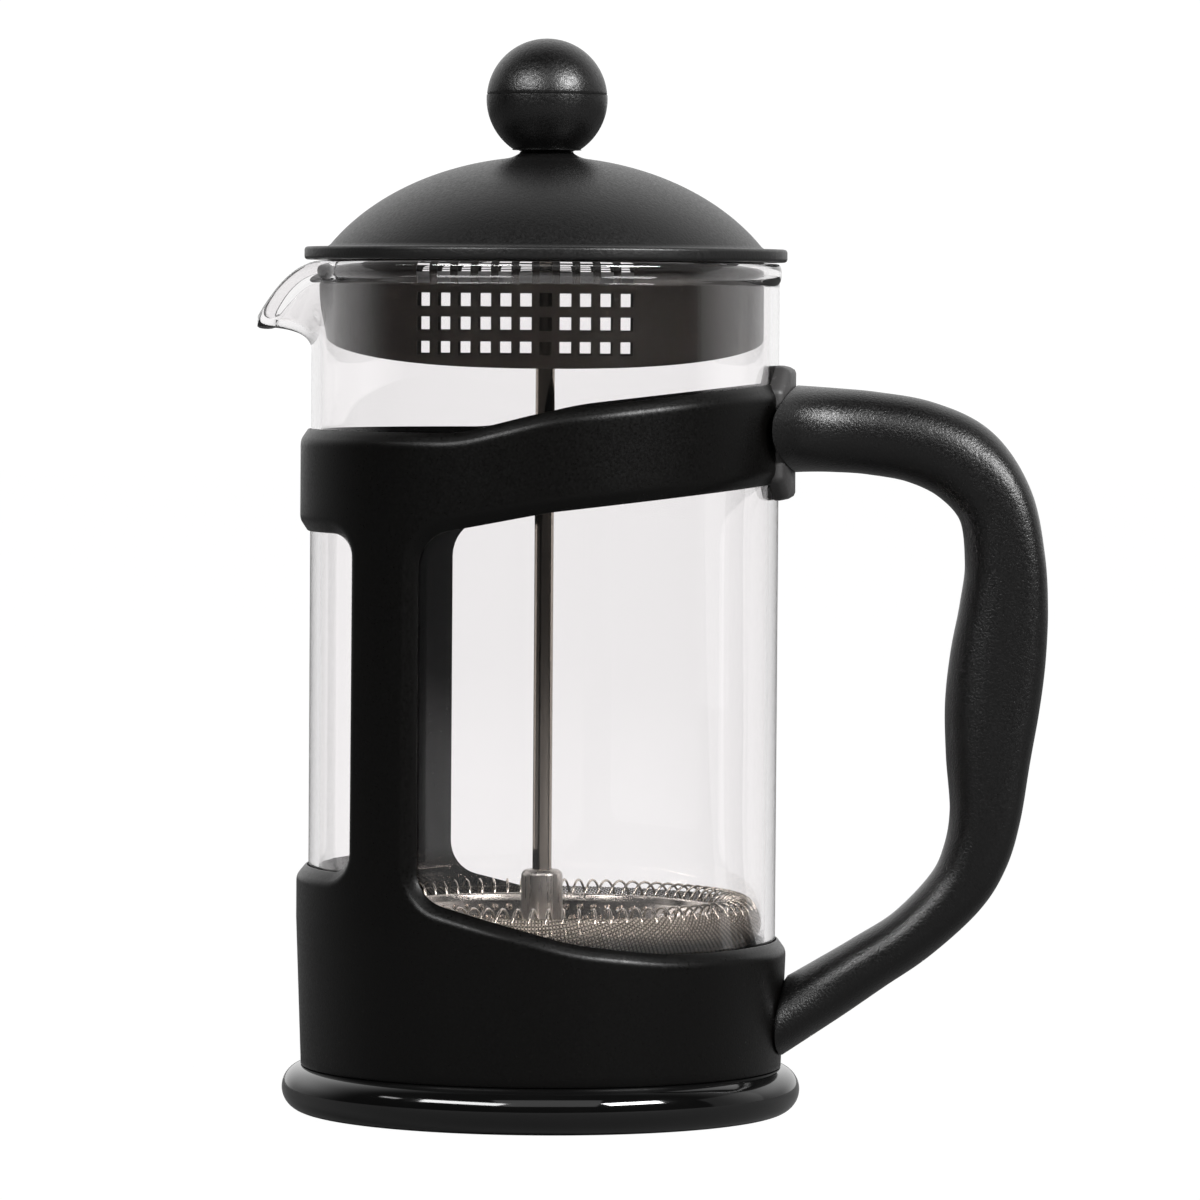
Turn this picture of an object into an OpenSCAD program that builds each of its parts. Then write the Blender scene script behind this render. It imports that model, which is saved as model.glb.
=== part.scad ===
// French press: a glass beaker standing in an open moulded cage with a side handle,
// a domed lid with a slotted strainer skirt, and a plunger with a sprung mesh filter.
// Millimetres. Z is the beaker's axis and points up; the press stands on z = 0.
// The handle is on +X and the pouring spout on -X.

/* [Beaker] */
// Outside radius of the glass wall
glass_r = 48.5; // [48:0.1:48.6]
// Thickness of the glass
glass_wall = 2.1; // [1.9:0.1:2.1]
// Height of the rim above the table
rim_z = 176; // [174:0.5:176]
// How far the spout's lip reaches out past the wall
spout_reach = 11.4; // [8:0.2:13]
// How far the spout's lip dips below the rim
spout_dip = 13.3; // [10:0.1:14]

/* [Cage] */
// Thickness of the cage wall at the top of the cup
cage_wall = 2.2; // [2:0.1:2.4]
// How much thinner the wall is at the foot of the cup
cup_draft = 1.1; // [0.6:0.1:1.2]
// How much thinner the wall is at the band
band_draft = 0.4; // [0:0.1:0.6]
// Width of each of the two upright struts, seen from the front
strut_w = 14.9; // [12:0.1:18]
// Largest radius of the glossy foot ring
foot_r = 53.8; // [53:0.1:55]
// Height of the foot ring
foot_h = 9.6; // [9.5:0.1:9.8]

/* [Lid] */
// Radius of the lid's flange
flange_r = 50; // [49.5:0.1:52]
// Height of the dome above the flange
dome_h = 19; // [17:0.5:19]
// Radius of the strainer skirt
skirt_r = 45.2; // [44.6:0.1:45.4]
// Pitch of the strainer's square holes, across the lid
hole_pitch = 4.15; // [3.6:0.05:4.2]
// Degrees that the lid is turned from its square position, anticlockwise from above
lid_turned = 3.5; // [0:0.5:90]

/* [Plunger] */
// Diameter of the rod
rod_d = 4; // [3.6:0.1:4.4]
// Diameter of the ball knob
knob_d = 25; // [24:0.5:28]
// Diameter of the wire coil around the filter's edge
coil_d = 7.8; // [7:0.1:7.8]

/* [Handle] */
// Diameter of the shank of both handle screws
screw_d = 3.9; // [3:0.1:4]

/* [Hidden] */
$fn = 96;

black = "#1c1b1b";
gloss_black = "#0c0c0d";
steel = "#b9b6b0";
brass = "#b99a58";

reach = 70;                    // half the size of a cutting block that clears the body
cup_gap = 0.3;                 // clearance between glass and cage
cage_in_r = glass_r + cup_gap;
cage_r = cage_in_r + cage_wall;
cup_foot_z = foot_h - 0.1;     // where the cage wall stands on the foot ring
floor_t = 2;                   // cage floor under the glass
floor_hole_r = 28;
spigot_r = 48.2;               // cage floor inside the foot ring
strut_left = -38.7;            // spout-side edge of the struts
strut_right = strut_left + strut_w;
window_low = 51;               // spout-side window, between cup and band
window_high = 120.3;
cage_top = 157;                // above every point of the band

handle_z = 142;                // upper screw
lower_screw_z = 22;
saddle_r = cage_r + 1;         // outside of the saddle plate

flange_low = rim_z + 0.3;
flange_t = 2.7;
dome_foot = flange_low + flange_t;
dome_top = dome_foot + dome_h;
dome_a = 52;                   // half axes of the dome's elliptic section
dome_b = 2 * dome_h;
lid_wall = 2;
neck_r = 5.6;
neck_top = dome_top + 1;
deck_t = 1.3;
skirt_wall = 1.8;
skirt_low = rim_z - 21.6;
skirt_rise = 7.2;              // how much higher the skirt's edge is at its two ends
guide_r = 3.6;
run_gap = 0.05;                // running clearance on radius
rod_r = rod_d / 2;

knob_r = knob_d / 2;
knob_low = neck_top + 0.2;
knob_z = knob_low + sqrt(pow(knob_r, 2) - pow(6.6, 2));
seam_z = knob_z + 0.9;
knob_wall = 2.3;
rod_top = knob_low + 7.3;

coil_r = coil_d / 2;
coil_ring_r = 41.9;            // centre line of the coil ring
coil_z = 41.1;
mesh_t = 0.2;
mesh_bend_r = 7.1;             // inside radius of the mesh dish's turned-up edge
mesh_bend_at = coil_ring_r + coil_r + 0.05 - mesh_bend_r;
mesh_low = coil_z - mesh_bend_r - mesh_t;
mesh_high = coil_z + 2.3;
plate_t = 0.8;
plate_low = mesh_low + mesh_t + 0.1;
plate_r = 37.7;
plate_rim_z = 42.4;
cross_t = 1.2;
nut_h = 5;
rod_low = mesh_low - cross_t - nut_h;

// --- outlines ---------------------------------------------------------------------

function unit(v) = v / norm(v);
function turn(a) = a > 180 ? a - 360 : a < -180 ? a + 360 : a;

// Points of the arc that rounds the corner b of the path a, b, c with radius r
function corner(a, b, c, r, steps = 6) =
    let (u = unit(a - b), v = unit(c - b), half = acos(u * v) / 2,
         centre = b + unit(u + v) * r / sin(half),
         from = b + u * r / tan(half) - centre,
         to = b + v * r / tan(half) - centre,
         start = atan2(from[1], from[0]),
         sweep = turn(atan2(to[1], to[0]) - start))
    [for (i = [0 : steps]) centre + r * [cos(start + sweep * i / steps),
                                         sin(start + sweep * i / steps)]];

// A closed path from corners [x, y, radius]; radius 0 keeps the corner sharp
function rounded(p) =
    let (n = len(p), xy = [for (q = p) [q[0], q[1]]])
    [for (i = [0 : n - 1])
        each p[i][2] == 0 ? [xy[i]]
            : corner(xy[(i + n - 1) % n], xy[i], xy[(i + 1) % n], p[i][2])];

// Extrudes a front-view outline (x across, z up) right through the body
module through_y() rotate([90, 0, 0]) linear_extrude(2 * reach, center = true) children();

// The band's upper edge rises from the spout towards the handle
above_band = [
    [-reach, 141.3, 0], [-15, 141.3, 35], [4, 146, 80], [reach, 153.6, 0],
    [reach, cage_top + 5, 0], [-reach, cage_top + 5, 0]
];

// The window between the struts on the spout side
spout_window = [
    [-reach, window_low, 0], [strut_left, window_low, 4.5],
    [strut_left, window_high, 4.5], [-reach, window_high, 0]
];

// The wide opening from the struts round to the handle, and the cup's dipping edge
handle_opening = [
    [strut_right, 47.2, 7.5], [10, 38.4, 60], [30, 36, 80], [reach, 36, 0],
    [reach, 133, 0], [4, 125.5, 80], [strut_right, 120.3, 8]
];

// --- stand ------------------------------------------------------------------------

// The tube that the cage is cut from, with its windows cut
module cage_wall_body() difference() {
    rotate_extrude() polygon([
        [cage_in_r, cup_foot_z], [cage_r - cup_draft, cup_foot_z], [cage_r, 40],
        [cage_r, window_low], [cage_r - band_draft, window_high],
        [cage_r - band_draft, cage_top], [cage_in_r, cage_top]
    ]);
    through_y() polygon(rounded(above_band));
    through_y() polygon(rounded(spout_window));
    through_y() polygon(rounded(handle_opening));
}

module frame() color(black) difference() {
    union() {
        cage_wall_body();
        rotate_extrude() polygon([
            [floor_hole_r, cup_foot_z - floor_t], [spigot_r, cup_foot_z - floor_t],
            [spigot_r, cup_foot_z], [cage_in_r + 0.5, cup_foot_z],
            [cage_in_r + 0.5, cup_foot_z + 1], [cage_in_r, cup_foot_z + 1],
            [cage_in_r - 1, cup_foot_z], [floor_hole_r, cup_foot_z]
        ]);
    }
    screw_hole(handle_z);
    screw_hole(lower_screw_z);
}

// The glossy foot: a half-round ring with a closed floor inside it
module base_foot() color(gloss_black) rotate_extrude() polygon(concat(
    [[0, 5.2], [44, 5.2], [44, 0]],
    [for (a = [-90 : 10 : 70]) [49 + (foot_r - 49) * cos(a), foot_h / 2 * (1 + sin(a))]],
    [[50, cup_foot_z], [spigot_r + 0.1, cup_foot_z],
     [spigot_r + 0.1, cup_foot_z - floor_t], [0, cup_foot_z - floor_t]]
));

// Clearance and countersink for a handle screw, driven outwards from inside the cage
module screw_hole(z) translate([0, 0, z]) rotate([0, 90, 0]) {
    cylinder(h = reach, d = screw_d);
    translate([0, 0, cage_in_r - 1]) cylinder(h = 1.1, r = 3.4);
    translate([0, 0, cage_in_r + 0.1]) cylinder(h = 1.3, r1 = 3.4, d2 = screw_d);
}

module handle_screw(z, length) color(steel) translate([cage_in_r + 0.1, 0, z])
    rotate([0, 90, 0]) difference() {
        union() {
            cylinder(h = 1.3, r1 = 3.4, d2 = screw_d);
            cylinder(h = length, d = screw_d);
        }
        translate([0, 0, -1]) cross_recess();
    }

// The cross slot for a screwdriver
module cross_recess() for (a = [0, 90]) rotate([0, 0, a])
    translate([-2, -0.35, 0]) cube([4, 0.7, 1.9]);

module upper_handle_screw() handle_screw(handle_z, 14);
module lower_handle_screw() handle_screw(lower_screw_z, 9);

// Seen along X: a plate with its corners cut off, whose ends show above and below the band
saddle_outline = [
    [-15.5, 150, 2], [-10, 155, 2.5], [10, 155, 2.5], [15.5, 150, 2],
    [15.5, 131.5, 2], [10.5, 127.3, 2.5], [-10.5, 127.3, 2.5], [-15.5, 131.5, 2]
];

module handle_saddle() color(black) difference() {
    intersection() {
        rotate_extrude() translate([cage_in_r + 0.1, 120])
            square([saddle_r - cage_in_r - 0.1, 40]);
        rotate([90, 0, 90]) linear_extrude(reach) polygon(rounded(saddle_outline));
    }
    cage_wall_body();       // the band passes under the plate
    screw_hole(handle_z);
}

// Handle: rings along a curve in the XZ plane, [x, z, depth, width] at each station
handle_path = [
    [46, 142, 18.2, 46], [50, 142, 18.2, 37], [54, 142, 17.8, 29], [60, 141.8, 17.4, 22.5],
    [68, 141.2, 17.2, 19.5], [78, 139.4, 17.3, 19.2], [87, 135, 17.4, 19.4],
    [93.4, 126.5, 16, 19.8], [95.5, 115, 16.7, 20], [95.3, 105, 18.4, 20],
    [94.2, 95, 19.8, 20], [93.1, 85, 19.6, 20], [92.4, 75, 17.7, 20],
    [91.9, 63, 14.9, 19.5], [89.9, 54, 13.7, 18.5], [85.8, 46.4, 12.6, 17.5],
    [77, 37.6, 11.7, 17], [68, 31.5, 12, 17.5], [60, 26.3, 12.7, 19],
    [53, 21.9, 13.2, 23], [46, 17.5, 13.6, 28]
];
handle_sides = 28;
handle_steps = 3;      // rings per station
squareness = 2.3;      // 2 is an ellipse, more is boxier

// Catmull-Rom curve through the stations
function spline(p, t) =
    let (i = min(floor(t), len(p) - 2), u = t - i,
         a = p[max(i - 1, 0)], b = p[i], c = p[i + 1], d = p[min(i + 2, len(p) - 1)])
    0.5 * (2 * b + (c - a) * u + (2 * a - 5 * b + 4 * c - d) * u * u
        + (3 * b - a - 3 * c + d) * u * u * u);

function power(v, e) = sign(v) * pow(abs(v), e);

function handle_ring(t) =
    let (s = spline(handle_path, t),
         ahead = spline(handle_path, t + 0.01), behind = spline(handle_path, max(t - 0.01, 0)),
         along = unit([ahead[0] - behind[0], ahead[1] - behind[1]]),
         out = [-along[1], along[0]])
    [for (k = [0 : handle_sides - 1])
        let (a = 360 * k / handle_sides,
             d = s[2] / 2 * power(cos(a), 2 / squareness),
             w = s[3] / 2 * power(sin(a), 2 / squareness))
        [s[0] + out[0] * d, w, s[1] + out[1] * d]];

// A closed solid through equal rings of points
module skin(rings) {
    n = len(rings[0]);
    last = len(rings) - 1;
    polyhedron(
        points = [for (r = rings) each r],
        faces = concat(
            [[for (k = [0 : n - 1]) k]],
            [for (i = [0 : last - 1], k = [0 : n - 1])
                [i * n + k, (i + 1) * n + k, (i + 1) * n + (k + 1) % n, i * n + (k + 1) % n]],
            [[for (k = [n - 1 : -1 : 0]) last * n + k]]));
}

module handle() color(black) difference() {
    span = len(handle_path) - 1;
    skin([for (i = [0 : span * handle_steps]) handle_ring(i / handle_steps)]);
    translate([0, 0, 115]) cylinder(h = 50, r = saddle_r);
    rotate_extrude() polygon([
        [0, 0], [cage_r - cup_draft, cup_foot_z], [cage_r, 40], [0, 40]
    ]);
    translate([0, 0, handle_z]) rotate([0, 90, 0])
        cylinder(h = cage_in_r + 0.1 + 14.3, d = screw_d);
    translate([0, 0, lower_screw_z]) rotate([0, 90, 0])
        cylinder(h = cage_in_r + 0.1 + 9.3, d = screw_d);
}

// --- beaker -----------------------------------------------------------------------

glass_low = cup_foot_z + 0.1;
glass_floor = 2.8;
heel_r = 9;                   // outside radius of the rounded bottom edge
spout_root = rim_z - 19;      // height where the spout leaves the wall
spout_half = 27;              // half the angle that the spout takes up
lip_curl = 1.2;               // how far the lip arches up before it turns down
rim_round = 0.4;              // crest of the rim above its edges

// 1 in the middle of the spout, falling smoothly to 0 at its sides
function spout_bell(a) = abs(a) >= spout_half ? 0 : pow(cos(90 * a / spout_half), 2);

// A point of the outer surface above the spout's root; t runs from the root to the rim
function glass_out(a, t) =
    let (b = spout_bell(a), r = glass_r + spout_reach * b * pow(max(t, 0), 2.2),
         top = rim_z - rim_round - spout_dip * pow(b, 1.92),
         z = spout_root + (top - spout_root) * t + lip_curl * b * b * 4 * t * (1 - t))
    [-r * cos(a), -r * sin(a), z];

function glass_normal(a, t) =
    unit(cross(glass_out(a + 0.5, t) - glass_out(a - 0.5, t),
               glass_out(a, t + 0.01) - glass_out(a, t - 0.01)));

function glass_in(a, t) = glass_out(a, t) - glass_wall * glass_normal(a, t);

function round_bottom(a, r, z) = [-r * cos(a), -r * sin(a), z];

// One closed section of the glass at angle a: up the outside, over the rim, down the inside
rim_steps = [0.1 : 0.1 : 1];
function glass_section(a) = concat(
    [round_bottom(a, 1, glass_low + 1)],
    [round_bottom(a, 30, glass_low + 0.6), round_bottom(a, 36, glass_low)],
    [for (k = [0 : 15 : 90]) round_bottom(a, glass_r - heel_r + heel_r * sin(k),
                                          glass_low + heel_r * (1 - cos(k)))],
    [glass_out(a, 0)],
    [for (t = rim_steps) glass_out(a, t)],
    [(glass_out(a, 1) + glass_in(a, 1)) / 2 + [0, 0, rim_round]],
    [for (t = [1 : -0.1 : 0.1]) glass_in(a, t)],
    [glass_in(a, 0)],
    [for (k = [90 : -15 : 0])
        round_bottom(a, glass_r - heel_r + (heel_r - glass_wall) * sin(k),
                     glass_low + glass_floor + (heel_r - glass_wall) * (1 - cos(k)))],
    [round_bottom(a, 1, glass_low + glass_floor + 0.6)]
);

// Finer steps across the spout than round the back
glass_angles = concat([for (a = [-30 : 3 : 27]) a], [for (a = [30 : 6 : 324]) a]);

// A ring of sections whose two open ends close on the axis
module glass_beaker() color("#dfe3e6", 0.35) {
    sections = [for (a = glass_angles) glass_section(a)];
    n = len(sections[0]);
    m = len(sections);
    under = m * n;
    polyhedron(
        points = concat([for (s = sections) each s],
            [[0, 0, sections[0][0][2]], [0, 0, sections[0][n - 1][2]]]),
        faces = concat(
            [for (i = [0 : m - 1], k = [0 : n - 2])
                let (j = (i + 1) % m)
                [i * n + k, j * n + k, j * n + k + 1, i * n + k + 1]],
            [for (i = [0 : m - 1]) [i * n, under, (i + 1) % m * n]],
            [for (i = [0 : m - 1]) [(i + 1) % m * n + n - 1, under + 1, i * n + n - 1]]));
}

// --- lid --------------------------------------------------------------------------

function dome_z(r, a, b, top) = top - b * (1 - sqrt(1 - pow(r / a, 2)));
function dome_radius(z, a, b, top) = a * sqrt(1 - pow(1 - (top - z) / b, 2));

module lid_dome() color(black) {
    foot = dome_radius(dome_foot, dome_a, dome_b, dome_top);
    inner_a = dome_a - lid_wall;
    inner_b = dome_b - lid_wall;
    inner_top = dome_top - lid_wall;
    inner_foot = dome_radius(flange_low, inner_a, inner_b, inner_top);
    bore = guide_r + run_gap;
    rotate_extrude() polygon(concat(
        [[bore, neck_top], [neck_r - 0.3, neck_top], [neck_r, neck_top - 0.3]],
        [for (k = [0 : 4])
            let (r = neck_r + 0.1 + 0.6 * k)
            [r, dome_z(r, dome_a, dome_b, dome_top) + 0.7 * pow(1 - k / 4, 2)]],
        [for (k = [1 : 16])
            let (r = 8 + (foot - 8) * sin(90 * k / 16))
            [r, dome_z(r, dome_a, dome_b, dome_top)]],
        [for (a = [90 : -22.5 : -90])
            [flange_r - 1.1 + 1.1 * cos(a), flange_low + flange_t / 2 * (1 + sin(a))]],
        [for (k = [16 : -1 : 0])
            let (r = neck_r + (inner_foot - neck_r) * sin(90 * k / 16))
            [r, dome_z(r, inner_a, inner_b, inner_top)]],
        [[neck_r, flange_low + 0.1], [bore, flange_low + 0.1]]
    ));
}

// Square holes in rows through the front and back of the skirt, in columns that splay a
// little towards the back. The skirt's edge rises to the ends, where coffee is poured.
module lid_strainer() color(black) rotate([0, 0, lid_turned]) {
    hole_w = 2.5;
    hole_h = 2.8;
    row_pitch = 4.95;
    splay = 0.9 / 25;              // degrees per millimetre from the middle column
    edge_z = function (y) skirt_low + skirt_rise * pow(1 - min(abs(y) / skirt_r, 1), 1.2);
    difference() {
        rotate_extrude() polygon([
            [guide_r + run_gap, flange_low - deck_t], [skirt_r - skirt_wall, flange_low - deck_t],
            [skirt_r - skirt_wall, skirt_low], [skirt_r, skirt_low],
            [skirt_r, flange_low], [guide_r + run_gap, flange_low]
        ]);
        for (i = [-6 : 4], j = [0 : 3])
            translate([i * hole_pitch, 0, skirt_low + 2.6 + j * row_pitch])
                rotate([0, 0, -i * hole_pitch * splay])
                    translate([-hole_w / 2, -reach, 0]) cube([hole_w, 2 * reach, hole_h]);
        rotate([90, 0, 90]) linear_extrude(2 * reach, center = true) polygon(concat(
            [for (y = [-45 : 3 : 45]) [y, edge_z(y)]],
            [[50, skirt_low], [50, skirt_low - 5], [-50, skirt_low - 5], [-50, skirt_low]]
        ));
    }
}

// The bush in the middle of the lid: the rod slides in it and the lid turns about it
module rod_guide() color(steel) rotate_extrude() polygon([
    [rod_r + run_gap, flange_low - deck_t - 1.5], [5.2, flange_low - deck_t - 1.5],
    [5.2, flange_low - deck_t - 0.1], [guide_r, flange_low - deck_t - 0.1],
    [guide_r, neck_top - 0.1], [rod_r + run_gap, neck_top - 0.1]
]);

// --- plunger ----------------------------------------------------------------------

module plunger_rod() color(steel) translate([0, 0, rod_low])
    cylinder(h = rod_top - rod_low, r = rod_r);

module knob_shell(low, high) intersection() {
    translate([0, 0, knob_z]) difference() {
        sphere(r = knob_r);
        sphere(r = knob_r - knob_wall);
    }
    translate([0, 0, low]) cylinder(h = high - low, r = knob_r + 1);
}

module knob_cap() color(black) knob_shell(seam_z, knob_z + knob_r);

// The lower half has a post that holds the threaded insert
module knob_base() color(black) difference() {
    union() {
        knob_shell(knob_low, seam_z);
        translate([0, 0, knob_low]) cylinder(h = 9.5, r = 6);
    }
    translate([0, 0, knob_low - 1]) cylinder(h = 9.3, r = 3.4);
}

module knob_insert() color(brass) difference() {
    translate([0, 0, knob_low]) cylinder(h = 8.3, r = 3.4);
    translate([0, 0, knob_low - 1]) cylinder(h = rod_top - knob_low + 1, r = rod_r);
}

// The collar that clamps the filter stack, with a rounded top
module filter_hub() color(steel) rotate_extrude() polygon(concat(
    [[rod_r, plate_low + plate_t], [4.3, plate_low + plate_t]],
    [for (a = [0 : 15 : 90]) [3 + 1.3 * cos(a), 48.9 + 1.3 * sin(a)]],
    [[rod_r, 50.2]]
));

// Pierced steel dish that stiffens the mesh; its rim turns up inside the coil ring
module filter_plate() color(steel) difference() {
    rotate_extrude() polygon([
        [rod_r + run_gap, plate_low], [plate_r - 0.6, plate_low], [plate_r, plate_low + 0.6],
        [plate_r, plate_rim_z], [plate_r - 0.7, plate_rim_z],
        [plate_r - 0.7, plate_low + plate_t], [rod_r + run_gap, plate_low + plate_t]
    ]);
    for (ring = [0 : 3])
        let (r = 12 + 6.5 * ring, count = 10 + 6 * ring)
            for (k = [0 : count - 1])
                rotate([0, 0, 360 * k / count]) translate([r, 0, plate_low - 1])
                    cylinder(h = plate_t + 2, r = 1.2);
}

// The ring that the edge spring's turns fill
module edge_spring() color(steel) translate([0, 0, coil_z]) rotate_extrude()
    translate([coil_ring_r, 0]) circle(r = coil_r);

// Woven dish: flat under the plate, then round and up outside the coil
module mesh_filter() color(steel) rotate_extrude() polygon(concat(
    [[rod_r + run_gap, mesh_low + mesh_t], [rod_r + run_gap, mesh_low]],
    [for (a = [-90 : 10 : 0])
        [mesh_bend_at + (mesh_bend_r + mesh_t) * cos(a), coil_z + (mesh_bend_r + mesh_t) * sin(a)]],
    [[mesh_bend_at + mesh_bend_r + mesh_t, mesh_high], [mesh_bend_at + mesh_bend_r, mesh_high]],
    [for (a = [0 : -10 : -90])
        [mesh_bend_at + mesh_bend_r * cos(a), coil_z + mesh_bend_r * sin(a)]]
));

// Bottom plate: a disc with four arms
module cross_plate() color(steel) translate([0, 0, mesh_low - cross_t]) difference() {
    union() {
        cylinder(h = cross_t, r = 13);
        for (a = [0, 90]) rotate([0, 0, a]) {
            translate([-34, -5, 0]) cube([68, 10, cross_t]);
            for (end = [-34, 34]) translate([end, 0, 0]) cylinder(h = cross_t, r = 5);
        }
    }
    translate([0, 0, -1]) cylinder(h = cross_t + 2, r = rod_r);
}

// Hexagonal nut on the threaded end of the rod
module bottom_nut() color(steel) translate([0, 0, rod_low]) difference() {
    cylinder(h = nut_h, r = 4.6, $fn = 6);
    translate([0, 0, -1]) cylinder(h = nut_h + 2, r = rod_r);
}

frame();
base_foot();
handle_saddle();
handle();
upper_handle_screw();
lower_handle_screw();
glass_beaker();
rod_guide();
lid_dome();
lid_strainer();
plunger_rod();
knob_base();
knob_cap();
knob_insert();
filter_hub();
filter_plate();
edge_spring();
mesh_filter();
cross_plate();
bottom_nut();
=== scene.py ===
import math

import bmesh
import bpy
import numpy as np
from mathutils import Matrix, Vector, geometry


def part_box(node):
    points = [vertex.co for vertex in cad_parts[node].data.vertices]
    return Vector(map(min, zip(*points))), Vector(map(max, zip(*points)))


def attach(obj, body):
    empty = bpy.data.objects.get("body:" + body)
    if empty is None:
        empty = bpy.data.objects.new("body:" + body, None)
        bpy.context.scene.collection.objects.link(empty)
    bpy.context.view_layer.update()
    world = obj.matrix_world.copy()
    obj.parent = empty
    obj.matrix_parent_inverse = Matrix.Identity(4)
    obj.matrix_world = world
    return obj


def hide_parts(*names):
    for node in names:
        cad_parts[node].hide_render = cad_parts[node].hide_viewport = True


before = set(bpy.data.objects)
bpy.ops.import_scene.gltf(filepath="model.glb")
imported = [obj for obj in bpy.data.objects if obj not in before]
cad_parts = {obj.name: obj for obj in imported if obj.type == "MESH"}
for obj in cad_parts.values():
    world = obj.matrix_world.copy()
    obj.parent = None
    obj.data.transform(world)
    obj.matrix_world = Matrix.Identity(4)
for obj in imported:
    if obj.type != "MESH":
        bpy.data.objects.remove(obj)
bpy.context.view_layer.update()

# A french press. Lengths below are millimetres in the CAD's frame: Z is the beaker's axis,
# the handle is on +X and the spout on -X. Meshes are scaled to metres when they are made.
MM = 0.001


def extent(node):
    """A CAD node's lowest and highest corner, in millimetres."""
    low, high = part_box(node)
    return low / MM, high / MM


# --- sizes taken from the frame -----------------------------------------------------------

FOOT_R = extent("base_foot")[1].y
FOOT_TOP = extent("base_foot")[1].z
GLASS_R = extent("glass_beaker")[1].y
GLASS_LOW = extent("glass_beaker")[0].z
RIM_Z = extent("glass_beaker")[1].z
CAGE_R = extent("frame")[1].y
FLANGE_R = extent("lid_dome")[1].x
FLANGE_LOW = extent("lid_dome")[0].z
NECK_TOP = extent("lid_dome")[1].z
KNOB_R = extent("knob_cap")[1].x
KNOB_TOP = extent("knob_cap")[1].z
KNOB_LOW = extent("knob_base")[0].z
SEAM_Z = extent("knob_cap")[0].z
ROD_R = extent("plunger_rod")[1].x
ROD_LOW = extent("plunger_rod")[0].z
ROD_TOP = extent("plunger_rod")[1].z
HUB_R = extent("filter_hub")[1].x
HUB_LOW = extent("filter_hub")[0].z
HUB_TOP = extent("filter_hub")[1].z
PLATE_R = extent("filter_plate")[1].x
PLATE_LOW = extent("filter_plate")[0].z
PLATE_RIM = extent("filter_plate")[1].z
COIL_HIGH = extent("edge_spring")[1]
COIL_LOW = extent("edge_spring")[0]
MESH_LOW = extent("mesh_filter")[0].z
MESH_TOP = extent("mesh_filter")[1].z

CAGE_IN = GLASS_R + 0.3
GLASS_WALL = 2.1
FOOT_EDGE_SHARE = 0.06      # how much of its moulded edge a panel keeps where it stands on the foot


# --- outlines and meshes ------------------------------------------------------------------

def arc(centre, radius, start, end, steps):
    """Points of an arc, from start to end in degrees."""
    angles = np.radians(np.linspace(start, end, steps + 1))
    return [(centre[0] + radius * math.cos(a), centre[1] + radius * math.sin(a)) for a in angles]


def rounded(path, steps=8):
    """A closed path of (x, y, radius) corners, with each corner turned into an arc."""
    points = []
    for i, (x, y, radius) in enumerate(path):
        if radius == 0:
            points.append((x, y))
            continue
        here = Vector((x, y))
        back = (Vector(path[i - 1][:2]) - here).normalized()
        ahead = (Vector(path[(i + 1) % len(path)][:2]) - here).normalized()
        half = back.angle(ahead) / 2
        centre = here + (back + ahead).normalized() * (radius / math.sin(half))
        first = here + back * (radius / math.tan(half)) - centre
        last = here + ahead * (radius / math.tan(half)) - centre
        start = math.degrees(math.atan2(first.y, first.x))
        turn = math.degrees(math.atan2(last.y, last.x)) - start
        turn = (turn + 180) % 360 - 180
        points += arc(centre, radius, start, start + turn, steps)
    return points


def mesh_object(name, points, faces, sharp=35):
    """A smooth-shaded object from points in millimetres, with edges over the sharp angle kept crisp."""
    mesh = bpy.data.meshes.new(name)
    mesh.from_pydata([Vector(p) * MM for p in points], [], faces)
    build = bmesh.new()
    build.from_mesh(mesh)
    bmesh.ops.remove_doubles(build, verts=build.verts, dist=2e-6)
    bmesh.ops.recalc_face_normals(build, faces=build.faces)
    build.to_mesh(mesh)
    build.free()
    mesh.shade_smooth()
    mesh.set_sharp_from_angle(angle=math.radians(sharp))
    obj = bpy.data.objects.new(name, mesh)
    bpy.context.scene.collection.objects.link(obj)
    return obj


def revolved(profile, steps=192):
    """Points and faces of a closed (radius, height) profile turned about the Z axis."""
    count = len(profile)
    points = [
        (r * math.cos(a), r * math.sin(a), z)
        for a in np.linspace(0, 2 * math.pi, steps, endpoint=False)
        for r, z in profile
    ]
    faces = []
    for i in range(steps):
        here, there = i * count, (i + 1) % steps * count
        for k in range(count):
            n = (k + 1) % count
            if profile[k][0] == 0 and profile[n][0] == 0:
                continue
            faces.append((here + k, there + k, there + n, here + n))
    return points, faces


def joined(*parts):
    """One list of points and faces from several."""
    points, faces = [], []
    for more_points, more_faces in parts:
        base = len(points)
        points += list(more_points)
        faces += [tuple(base + i for i in face) for face in more_faces]
    return points, faces


def turned_piece(name, profile, sharp=35, steps=192):
    return mesh_object(name, *revolved(profile, steps), sharp=sharp)


def tube(path, radius, sides=8, closed=False):
    """Points and faces of a round wire along a path of points."""
    path = np.array(path, float)
    if closed:
        along = np.roll(path, -1, 0) - np.roll(path, 1, 0)
    else:
        along = np.gradient(path, axis=0)
    along /= np.linalg.norm(along, axis=1)[:, None]
    side = np.cross(along, (0, 0, 1.0))
    side /= np.linalg.norm(side, axis=1)[:, None]
    up = np.cross(side, along)
    angles = np.linspace(0, 2 * math.pi, sides, endpoint=False)
    rings = [path + radius * (side * math.cos(a) + up * math.sin(a)) for a in angles]
    points = np.stack(rings, 1).reshape(-1, 3)
    count = len(path)
    faces = []
    for i in range(count if closed else count - 1):
        j = (i + 1) % count
        for k in range(sides):
            n = (k + 1) % sides
            faces.append((i * sides + k, i * sides + n, j * sides + n, j * sides + k))
    if not closed:
        faces.append(tuple(range(sides)))
        faces.append(tuple((count - 1) * sides + k for k in reversed(range(sides))))
    return points.tolist(), faces


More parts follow.
